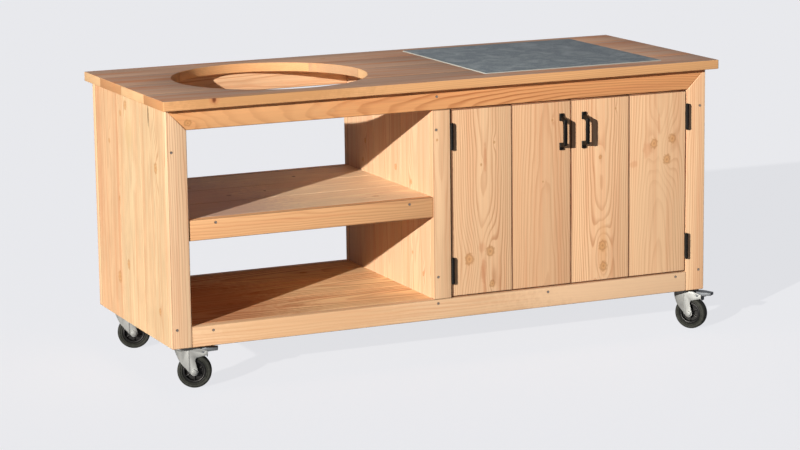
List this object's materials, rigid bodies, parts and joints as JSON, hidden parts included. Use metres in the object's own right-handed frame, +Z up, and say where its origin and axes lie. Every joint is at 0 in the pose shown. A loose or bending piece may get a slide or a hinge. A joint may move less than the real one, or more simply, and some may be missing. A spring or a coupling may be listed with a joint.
{
  "type": "kamado grill table",
  "caption": "Larch outdoor kitchen table on swivel casters, with a round cut-out for a kamado grill, an inset stone slab, an open bay with a shelf, and a cupboard with hinged doors.",
  "frame": {"origin": "on the floor, under the middle of the table's overall box", "axes": "+X along the table to the cupboard's end, +Y from the doors to the back, +Z up"},
  "size_m": [1.8, 0.727, 0.852],
  "materials": {
    "larch": "oiled planed larch",
    "larch_worktop": "oiled planed larch, darker on top",
    "stone": "honed dark blue-grey stone",
    "black_steel": "satin black powder coat",
    "zinc": "bright zinc plate",
    "rubber": "dark rubber tyre on a dark plastic rim"
  },
  "bodies": {
    "cabinet": {"worktop_front_plank": "larch_worktop", "worktop_rear_plank": "larch_worktop", "worktop_left_boards": "larch_worktop", "worktop_middle_boards": "larch_worktop", "worktop_right_boards": "larch_worktop", "stone_slab": "stone", "slab_support_frame": "larch", "front_left_stile": "larch", "front_right_stile": "larch", "front_top_rail": "larch", "front_bottom_rail": "larch", "front_middle_stile": "larch", "front_shelf_apron": "larch", "rear_left_stile": "larch", "rear_right_stile": "larch", "rear_top_rail": "larch", "rear_bottom_rail": "larch", "rear_middle_stile": "larch", "rear_shelf_apron": "larch", "left_side_panel": "larch", "right_side_panel": "larch", "partition": "larch", "bottom_boards": "larch", "shelf_boards": "larch", "cupboard_back": "larch", "door_stop": "larch", "left_caster_bearer": "larch", "right_caster_bearer": "larch", "frame_hinge_leaf_left_lower": "black_steel", "frame_hinge_leaf_left_upper": "black_steel", "frame_hinge_leaf_right_lower": "black_steel", "frame_hinge_leaf_right_upper": "black_steel", "front_left_caster_plate": "zinc", "rear_left_caster_plate": "zinc", "front_right_caster_plate": "zinc", "rear_right_caster_plate": "zinc"},
    "left_door": {"left_door_hinge_board": "larch", "left_door_closing_board": "larch", "left_door_batten_lower": "larch", "left_door_batten_upper": "larch", "left_door_handle": "black_steel", "left_door_hinge_leaf_lower": "black_steel", "left_door_hinge_leaf_upper": "black_steel"},
    "right_door": {"right_door_hinge_board": "larch", "right_door_closing_board": "larch", "right_door_batten_lower": "larch", "right_door_batten_upper": "larch", "right_door_handle": "black_steel", "right_door_hinge_leaf_lower": "black_steel", "right_door_hinge_leaf_upper": "black_steel"},
    "front_left_swivel": {"front_left_fork": "zinc"},
    "front_left_roller": {"front_left_wheel": "rubber"},
    "front_left_brake": {"front_left_brake_pedal": "zinc"},
    "rear_left_swivel": {"rear_left_fork": "zinc"},
    "rear_left_roller": {"rear_left_wheel": "rubber"},
    "front_right_swivel": {"front_right_fork": "zinc"},
    "front_right_roller": {"front_right_wheel": "rubber"},
    "front_right_brake": {"front_right_brake_pedal": "zinc"},
    "rear_right_swivel": {"rear_right_fork": "zinc"},
    "rear_right_roller": {"rear_right_wheel": "rubber"}
  },
  "joints": [
    {"name": "left_door_hinge", "type": "hinge", "parent": "cabinet", "child": "left_door", "pos_m": [0.0015, -0.3375, 0.4765], "axis": [0, 0, -1], "range_deg": [0, 170]},
    {"name": "right_door_hinge", "type": "hinge", "parent": "cabinet", "child": "right_door", "pos_m": [0.801, -0.3375, 0.4765], "axis": [0, 0, 1], "range_deg": [0, 170]},
    {"name": "front_left_swivelling", "type": "hinge", "parent": "cabinet", "child": "front_left_swivel", "pos_m": [-0.833, -0.2675, 0.12], "axis": [0, 0, 1], "continuous": true},
    {"name": "rear_left_swivelling", "type": "hinge", "parent": "cabinet", "child": "rear_left_swivel", "pos_m": [-0.833, 0.2745, 0.12], "axis": [0, 0, 1], "continuous": true},
    {"name": "front_right_swivelling", "type": "hinge", "parent": "cabinet", "child": "front_right_swivel", "pos_m": [0.825, -0.2675, 0.12], "axis": [0, 0, 1], "continuous": true},
    {"name": "rear_right_swivelling", "type": "hinge", "parent": "cabinet", "child": "rear_right_swivel", "pos_m": [0.825, 0.2745, 0.12], "axis": [0, 0, 1], "continuous": true},
    {"name": "front_left_rolling", "type": "hinge", "parent": "front_left_swivel", "child": "front_left_roller", "pos_m": [-0.8017, -0.28078, 0.05], "axis": [0.3907, 0.9205, 0], "continuous": true},
    {"name": "rear_left_rolling", "type": "hinge", "parent": "rear_left_swivel", "child": "rear_left_roller", "pos_m": [-0.80105, 0.26287, 0.05], "axis": [0.342, 0.9397, 0], "continuous": true},
    {"name": "front_right_rolling", "type": "hinge", "parent": "front_right_swivel", "child": "front_right_roller", "pos_m": [0.84546, -0.29465, 0.05], "axis": [0.7986, 0.6018, 0], "continuous": true},
    {"name": "rear_right_rolling", "type": "hinge", "parent": "rear_right_swivel", "child": "rear_right_roller", "pos_m": [0.85285, 0.255, 0.05], "axis": [0.5736, 0.8192, 0], "continuous": true},
    {"name": "front_left_braking", "type": "hinge", "parent": "front_left_swivel", "child": "front_left_brake", "pos_m": [-0.77593, -0.29173, 0.1092], "axis": [0.3907, 0.9205, 0], "range_deg": [0, 18]},
    {"name": "front_right_braking", "type": "hinge", "parent": "front_right_swivel", "child": "front_right_brake", "pos_m": [0.86231, -0.31702, 0.1092], "axis": [0.7986, 0.6018, 0], "range_deg": [0, 18]}
  ]
}
